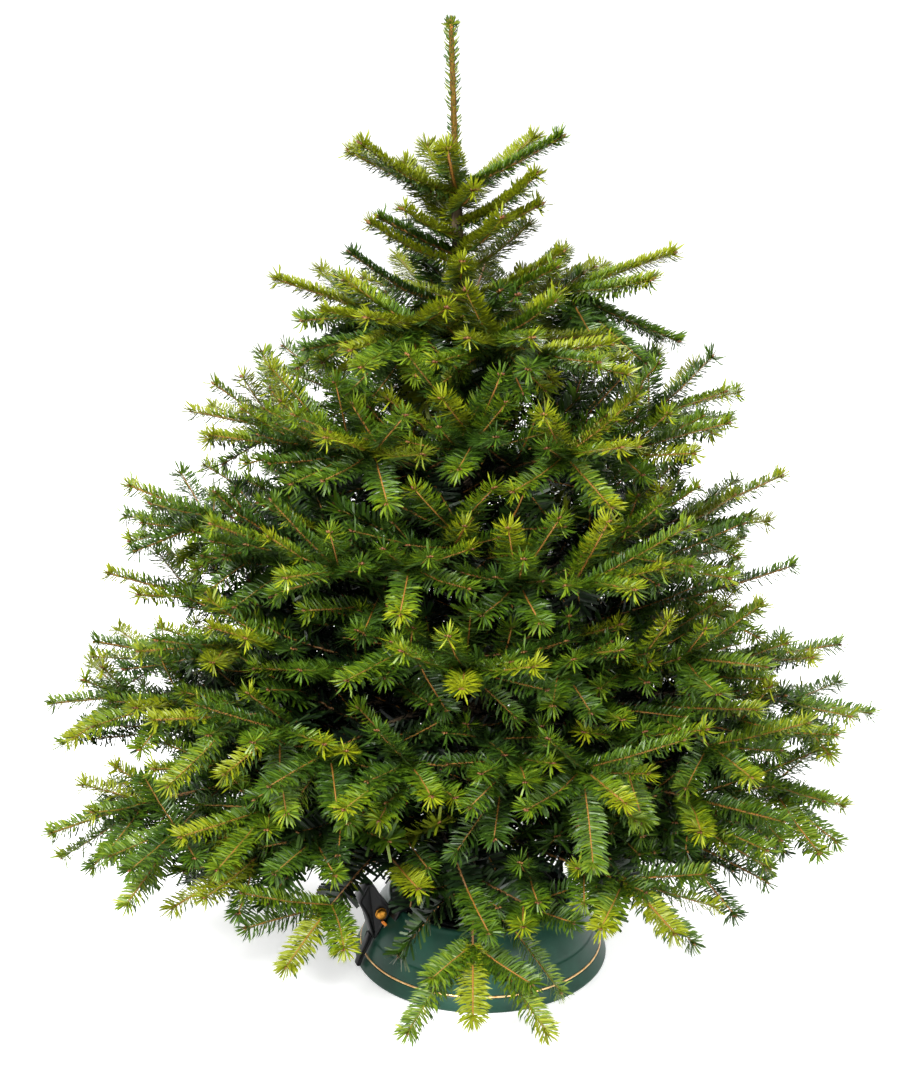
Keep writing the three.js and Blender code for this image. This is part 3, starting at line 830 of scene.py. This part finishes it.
def grow_between(rng, tree, azimuth, foot, rise, reach, year, lift=0.08):
    """A smaller bough from between the whorls, from a height on the trunk to its tip."""
    out = np.array([math.cos(azimuth), math.sin(azimuth)])
    share = np.linspace(0, 1, 12)
    height = foot + rise * (0.4 * share + 0.6 * share**2)
    route = np.column_stack([trunk_at(height) + reach * share[:, None] * out, height])
    grow_bough(rng, tree, "between", route, year, lift, stout=1.2)


def grow_internodes(tree):
    """The smaller boughs between the whorls, and close below the top one."""
    rng = seeded(50)
    for foot, rise, reach, azimuths in INTERNODES:
        for azimuth in azimuths:
            turn = math.radians(azimuth) + rng.normal(0, 0.05)
            long = reach * rng.uniform(0.93, 1.03)
            long *= 0.95 - 0.05 * math.cos(turn) - 0.24 * abs(math.sin(turn))
            grow_between(rng, tree, turn, foot, rise, long, INTERNODE_YEAR)
    for i, height in enumerate(NECK_HEIGHTS):
        turn = math.radians(GOLDEN_ANGLE * i + 20) + rng.normal(0, 0.15)
        long = 0.5 * (1.17 - height) + 0.05
        grow_between(rng, tree, turn, height, long * rng.uniform(0.35, 0.55), long, 0.2)


def grow_hanging(tree):
    """Single shoots that hang in front of the stand, each from the nearest older wood."""
    for place in HANGING:
        target = np.array(place)
        start = nearest_wood(tree, target, math.hypot(target[0], target[1]))
        way = target - start
        length = norm(way)
        share = np.linspace(0, 1, STEPS + 1)[:, None]
        line = start + share * way + 0.35 * length * share * (1 - share) * UP
        heading = unit(way + 0.25 * length * UP)
        tree.add(line, square_to(heading, UP), HANGING_RADII, 0, "between")


def fill_gaps(tree):
    """Shoots that grow from older wood into the light, wherever the crown is still open."""
    rng = seeded(60)
    for share, gap in GAPS:
        for height in GAP_HEIGHTS:
            count = int(2 * math.pi * share * np.interp(height, *GAP_RING) / GAP_STEP)
            turn = rng.uniform(0, 2 * math.pi)
            for azimuth in turn + np.arange(count) * 2 * math.pi / count:
                radius = share * crown_reach(height, azimuth)
                out = np.array([math.cos(azimuth), math.sin(azimuth)])
                spot = trunk_at(height) + radius * rng.uniform(0.92, 1.06) * out
                target = np.array([*spot, height + rng.normal(0, 0.012)])
                # The stand stays in view from the front.
                over_stand = height < 0.21 and (radius < 0.2 or out[1] < -0.4)
                if not over_stand and tree.nearest(target) > gap:
                    grow_towards(rng, tree, target, radius)


def nearest_wood(tree, target, radius):
    """The end of the nearest older wood further in than a target, or else a spot on the trunk."""
    count = len(tree.shoots)
    ends = tree.ends[:count]
    inward = norm(ends[:, :2] - trunk_at(ends[:, 2]), axis=1) < radius - 0.03
    way = target - ends
    distance = norm(way, axis=1)
    steep = np.abs(way[:, 2]) > 0.8 * distance
    distance = np.where(inward & tree.old[:count] & ~steep, distance, np.inf)
    nearest = distance.argmin()
    if distance[nearest] < WOOD_REACH:
        return ends[nearest]
    foot = target[2] - 0.35 * radius
    return np.array([*trunk_at(foot), foot])


def grow_towards(rng, tree, target, radius):
    """An axis to a target from the nearest wood."""
    start = nearest_wood(tree, target, radius)
    heading = unit(target - start)
    reach = norm(target - start)
    years = max(1, round(reach / YEAR))
    order = 2 if years > 1 else 3
    up = square_to(heading, UP)
    grow_axis(rng, tree, "between", start, heading, up, reach, years, order, FILL_LIFT)


def shade_of(tree):
    """For each shoot, from 0 in the open to 1 in the deepest shade."""
    middles = tree.middles[: len(tree.shoots)]
    out = middles.copy()
    out[:, :2] -= trunk_at(middles[:, 2])
    out[:, 2] = 0
    sight = unit(unit(out) + 0.55 * UP)
    count = np.empty(len(middles))
    for i in range(len(middles)):
        way = middles - middles[i]
        distance = np.sqrt((way**2).sum(1))
        count[i] = ((way @ sight[i] > 0.6 * distance) & (distance < SHADE_REACH)).sum()
    rank = count.argsort(kind="stable").argsort(kind="stable")
    return rank / len(middles)


# ---- needles, twigs and buds ----
class Spray:
    """The shoots of one joined piece, as arrays."""

    def __init__(self, tree, members):
        lines, ups, radii, ages, homes = zip(*[tree.shoots[i] for i in members])
        self.lines, self.ups = np.array(lines), np.array(ups)
        self.radii, self.ages = np.array(radii), np.array(ages)
        self.heights = self.lines[:, STEPS // 2, 2]
        self.shade = tree.shade[members]
        self.leader = np.array(homes) == "needles_leader"


def needle_counts(spray):
    """How many needles each shoot has along it, and round its end."""
    lengths = norm(spray.lines[:, -1] - spray.lines[:, 0], axis=1)
    oldest = len(NEEDLES_PER_METRE) - 1
    density = np.array(NEEDLES_PER_METRE)[np.minimum(spray.ages, oldest)]
    least = np.interp(spray.heights, *SKIRT_DENSITY)
    density = density * np.maximum(np.interp(spray.shade, *SHADE_DENSITY), least)
    density *= np.where(spray.leader, LEADER_DENSITY, np.interp(spray.heights, *TOP_DENSER))
    body = np.maximum(1, np.round(lengths * density)).astype(int)
    rosette = np.where(spray.shade > DEEP_SHADE, SHADE_ROSETTE, ROSETTE)
    rosette *= np.where(spray.heights > DOUBLE_ROSETTES, 2, 1)
    return body, np.where(spray.ages == 0, rosette, 0)


def needle_arrays(rng, spray):
    """Root, direction and shape of every needle, and its shoot's number."""
    body, ends = needle_counts(spray)
    count = body + ends
    shoot = np.repeat(np.arange(len(count)), count)
    rank = np.arange(len(shoot)) - np.repeat(np.cumsum(count) - count, count)
    crown = rank >= body[shoot]
    leader = spray.leader[shoot]
    total = len(shoot)

    share = np.where(crown, rng.uniform(0.96, 1.0, total), (rank + 0.5) / body[shoot])
    place = share * STEPS
    cell = np.minimum(place.astype(int), STEPS - 1)
    part = (place - cell)[:, None]
    low, high = spray.lines[shoot, cell], spray.lines[shoot, cell + 1]
    root = low * (1 - part) + high * part
    axis = unit(high - low)
    up = spray.ups[shoot]
    up = unit(up - axis * np.sum(up * axis, 1, keepdims=True))
    side = np.cross(axis, up)

    # Round the shoot the needles part above the twig: most lie to the sides, a few hang below.
    turn = np.abs((rank * TURN_STEP + rng.uniform(-9, 9, total)) % 360 - 180)
    hand = np.where(rank % 2 == 0, 1.0, -1.0)
    lean = np.interp(turn, [0, 60, 130, 180], [36, 64, 92, 124])
    lean += rng.normal(0, NEEDLE_SPREAD, total)
    lean = np.where(crown | leader, turn, lean)
    angle = np.radians(lean) * hand
    outward = np.cos(angle)[:, None] * up + np.sin(angle)[:, None] * side

    spread = np.interp(lean, [0, 60, 100, 180], [66, 74, 78, 68]) - 14 * share**3
    ahead = rng.uniform(16, 88, total)
    spread = np.where(crown, ahead, spread + rng.normal(0, NEEDLE_SPREAD, total))
    pressed = LEADER_SPREAD + rng.normal(0, 7, total)
    spread = np.radians(np.where(leader & ~crown, pressed, spread))[:, None]
    first = np.cos(spread) * axis + np.sin(spread) * outward
    second = unit(first + 0.40 * axis + 0.16 * up + rng.normal(0, 0.08, (total, 3)))

    length = np.interp(lean, [36, 64, 100, 180], [0.54, 0.90, 1.0, 0.92])
    length = np.where(crown, 0.95, length)
    length *= np.interp(share, [0, 0.15, 0.75, 1], [0.75, 1.0, 1.0, 0.9])
    length *= rng.uniform(0.84, 1.1, total) * NEEDLE_LENGTH
    length = np.where(leader, length * LEADER_NEEDLE, length)
    facing = up + 0.35 * axis + rng.normal(0, 0.28, (total, 3))
    across = unit(np.cross(first, facing))
    return root, first, second, across, length, shoot, share, crown, lean


def needle_mesh(arrays, deep):
    """A tapering blade for each needle: bent, of two faces, in the open, and of one in the shade."""
    root, first, second, across, length, *_ = arrays
    long = (length * np.where(deep, SHADE_LENGTH, 1))[:, None]
    wide = NEEDLE_WIDTH * np.where(deep, SHADE_WIDTH, 1)[:, None]
    half = 0.5 * wide * across * np.clip(long / NEEDLE_LENGTH, 0.7, 1)
    middle = root + NEEDLE_BEND * long * first
    tip = middle + (1 - NEEDLE_BEND) * long * second
    bent = [root - 0.5 * half, root + 0.5 * half, middle + half, middle - half, tip]
    bent = np.stack(bent, 1)[~deep]
    flat = np.stack([root - 0.7 * half, root + 0.7 * half, tip + 0.5 * half, tip - 0.5 * half], 1)
    flat = flat[deep]
    points = np.concatenate([bent.reshape(-1, 3), flat.reshape(-1, 3)])
    base = np.arange(len(bent))[:, None] * 5
    flat_base = len(bent) * 5 + np.arange(len(flat))[:, None] * 4
    blade = np.concatenate([base + np.arange(4), flat_base + np.arange(4)])
    point = base + np.array([3, 2, 4])
    return points, blade, point


def needle_piece(rng, name, spray):
    arrays = needle_arrays(rng, spray)
    *_, shoot, share, crown, lean = arrays
    deep = (spray.shade > DEEP_SHADE)[shoot]
    points, blade, point = needle_mesh(arrays, deep)
    # Painted light and shade: the shadier the shoot, the darker its needles' tone.
    tone = np.interp(spray.shade, *SHADE_TONES) + rng.normal(0, 0.5, len(spray.ages))
    count = len(spray.ages)
    olive = (rng.random(count) < np.interp(spray.heights, *OLIVE_SHARE))[shoot]
    tone = (tone + 0.5 * np.clip(spray.ages, 0, 3))[shoot]
    # Lighter tips on this year's shoots: partly young growth, partly painted light, less of it the
    # shadier the shoot.
    bright = rng.uniform(*TIP_BRIGHTER, count) * (spray.ages == 0) * (1 - 0.7 * spray.shade)
    fresh_and_lit = np.clip((share - 0.35) / 0.65, 0, 1) * bright[shoot]
    tone = tone - fresh_and_lit + rng.normal(0, 0.4, len(tone))
    tone = np.clip(np.round(tone), 0, SHADE).astype(int)
    tone = np.where((lean > UNDERSIDE) & ~crown & (tone < DARK), PALE, tone)
    tone = np.where(olive & (tone < SHADE), np.where(tone <= FRESH, OLIVE, MOSS), tone)
    tone = np.where(spray.leader[shoot], rng.choice([MID, MOSS], len(tone)), tone)
    slots = np.concatenate([tone[~deep], tone[deep], tone[~deep]])
    materials = [bpy.data.materials[name] for name in TONES]
    return make_mesh(name, points, [blade, point], materials, slots)


def tube_mesh(lines, radii, sides):
    """Open tubes round polylines. lines is shoots x points x 3 and radii shoots x points."""
    count, steps = lines.shape[:2]
    axis = unit(np.gradient(lines, axis=1))
    helper = np.where(np.abs(axis[..., 2:3]) > 0.9, np.array([1.0, 0, 0]), UP)
    first = unit(np.cross(axis, helper))
    second = np.cross(axis, first)
    turn = np.linspace(0, 2 * math.pi, sides, endpoint=False)
    ring = (
        np.cos(turn)[:, None] * first[:, :, None] + np.sin(turn)[:, None] * second[:, :, None]
    )
    radii = radii if radii.ndim == 3 else radii[:, :, None]
    points = lines[:, :, None] + radii[..., None] * ring
    index = np.arange(count * steps * sides).reshape(count, steps, sides)
    low, high = index[:, :-1], index[:, 1:]
    faces = np.stack([low, np.roll(low, -1, 2), np.roll(high, -1, 2), high], -1)
    return points.reshape(-1, 3), faces.reshape(-1, 4), index


def twig_piece(name, spray):
    lines = spray.lines[:, ::2]
    share = np.linspace(0, 1, lines.shape[1])
    radii = spray.radii[:, :1] * (1 - share) + spray.radii[:, 1:] * share
    points, faces, index = tube_mesh(lines, radii, TWIG_SIDES)
    age = np.clip(spray.ages, 0, 3)
    slots = np.concatenate([np.repeat(age, (lines.shape[1] - 1) * TWIG_SIDES), age])
    materials = [bpy.data.materials[tone] for tone in TWIG_TONES]
    return make_mesh(name, points, [faces, index[:, -1]], materials, slots, smooth=True)


def bud_piece(rng, name, spray):
    """Three buds at the end of each of this year's shoots: one ahead and one to each side."""
    tips = (spray.ages == 0) & (spray.shade < BUD_SHADE)
    end = spray.lines[tips, -1]
    axis = unit(end - spray.lines[tips, -2])
    up = spray.ups[tips]
    side = np.cross(axis, up)
    starts, headings, scales = [], [], []
    for hand, scale in ((0, 1.0), (-1, 0.8), (1, 0.8)):
        starts.append(end + hand * BUD_APART * side)
        headings.append(unit(axis + hand * 0.75 * side + rng.normal(0, 0.1, axis.shape)))
        growth = np.interp(end[:, 2], *BUD_GROWTH)
        scales.append(scale * rng.uniform(0.85, 1.15, len(end)) * growth)
    start, heading, scale = map(np.concatenate, (starts, headings, scales))
    belly = start + (scale * BUD_LENGTH * 0.4)[:, None] * heading
    first = unit(np.cross(heading, UP + 0.01))
    second = np.cross(heading, first)
    radius = (scale * BUD_RADIUS)[:, None]
    corners = [belly + radius * way for way in (first, second, -first, -second)]
    corners += [start, start + (scale * BUD_LENGTH)[:, None] * heading]
    points = np.stack(corners, 1)
    ring = np.arange(4)
    point = np.stack([ring, np.roll(ring, -1), np.full(4, 5)], 1)
    foot = np.stack([np.roll(ring, -1), ring, np.full(4, 4)], 1)
    shape = np.concatenate([point, foot])
    faces = (np.arange(len(points))[:, None, None] * 6 + shape).reshape(-1, 3)
    slots = np.repeat(rng.integers(0, 2, len(points)), len(shape))
    materials = [bpy.data.materials[tone] for tone in BUD_TONES]
    return make_mesh(name, points.reshape(-1, 3), [faces], materials, slots, smooth=True)


def make_plain_materials():
    for name, colour in NEEDLE_TONES.items():
        plain_material(name, colour, 0.42, Specular_IOR_Level=0.3)
    for name, colour in TWIG_TONES.items():
        plain_material(name, colour, 0.7)
    for name, colour in BUD_TONES.items():
        plain_material(name, colour, 0.6)


def dress(tree, name, members, replaced):
    """Needles, twigs and buds of some shoots, in joined pieces."""
    rng = seeded(100 + len(bpy.data.objects))
    spray = Spray(tree, members)
    needles = needle_piece(rng, f"needles_of_{name}", spray)
    twigs = twig_piece(f"twigs_of_{name}", spray)
    buds = bud_piece(rng, f"buds_of_{name}", spray)
    for piece, slot in ((needles, "needles"), (twigs, "bark"), (buds, "bark")):
        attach(piece, "root")
    if replaced:
        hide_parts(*replaced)


def grow_tree():
    """All the foliage, in pieces small enough for the limit on one joined piece."""
    tree = Crown()
    grow_whorls(tree)
    grow_leader(tree)
    grow_hanging(tree)
    grow_internodes(tree)
    fill_gaps(tree)
    tree.shade = shade_of(tree)
    homes = np.array([shoot[-1] for shoot in tree.shoots])
    needles = sum(needle_counts(Spray(tree, np.arange(len(homes)))))
    for whorl in [*WHORLS, "leader"]:
        members, replaced, part = [], [], 1
        for name in nodes_of(f"needles_{whorl}"):
            extra = np.flatnonzero(homes == name)
            if needles[[*members, *extra]].sum() > MOST_NEEDLES:
                dress(tree, f"{whorl}_{part}", members, replaced)
                members, replaced, part = [], [], part + 1
            members.extend(extra)
            replaced.append(name)
        dress(tree, f"{whorl}_{part}", members, replaced)
    between = np.flatnonzero(homes == "between")
    between = between[tree.middles[between, 2].argsort()]
    part = (np.cumsum(needles[between]) / MOST_NEEDLES).astype(int)
    for number in np.unique(part):
        dress(tree, f"between_{number + 1}", between[part == number], [])
    return tree


# ---- stage ----
FLOOR_GLOW = 0.45  # keeps the far floor as white as the sky


def make_stage():
    bpy.ops.mesh.primitive_plane_add(size=400)
    floor = bpy.context.object
    floor.name = "floor"
    white = plain_material("floor_white", (0.97, 0.97, 0.97), 0.9, Emission_Strength=FLOOR_GLOW)
    white.node_tree.nodes["Principled BSDF"].inputs["Emission Color"].default_value = (1, 1, 1, 1)
    floor.data.materials.append(white)
    bpy.context.scene.view_settings.view_transform = "Standard"
    world = bpy.data.worlds.new("studio")
    bpy.context.scene.world = world
    world.use_nodes = True
    sky = world.node_tree.nodes["Background"]
    sky.inputs["Color"].default_value = (1, 1, 1, 1)
    sky.inputs["Strength"].default_value = 1.0
    lights = {
        # name: place, size, watts
        "key": ((-1.3, -2.9, 3.1), 1.1, 330),
        "fill": ((2.4, -2.6, 2.0), 1.6, 90),
        "back": ((0.6, 2.8, 2.8), 1.6, 120),
    }
    target = np.array([0, 0, 0.55])
    for name, (place, size, watts) in lights.items():
        data = bpy.data.lights.new(name, "AREA")
        data.shape = "DISK"
        data.size = size
        data.energy = watts
        light = add_object(name, data)
        light.location = place
        gaze = target - np.array(place)
        yaw = math.atan2(gaze[0], -gaze[1])
        pitch = math.atan2(math.hypot(gaze[0], gaze[1]), -gaze[2])
        light.rotation_euler = (pitch, 0, yaw + math.pi)


def make_camera():
    data = bpy.data.cameras.new("camera")
    data.sensor_width = 36
    data.lens = 61.27
    camera = add_object("camera", data)
    camera.location = (-0.046, -2.505, 1.407)
    camera.rotation_euler = (math.radians(90 - 17), 0, 0)
    bpy.context.scene.camera = camera


make_camera()
make_stage()
make_plain_materials()
make_grained_materials()
make_shell()
make_bowl()
make_claws()
make_lever()
make_trunk()
make_limbs(grow_tree())
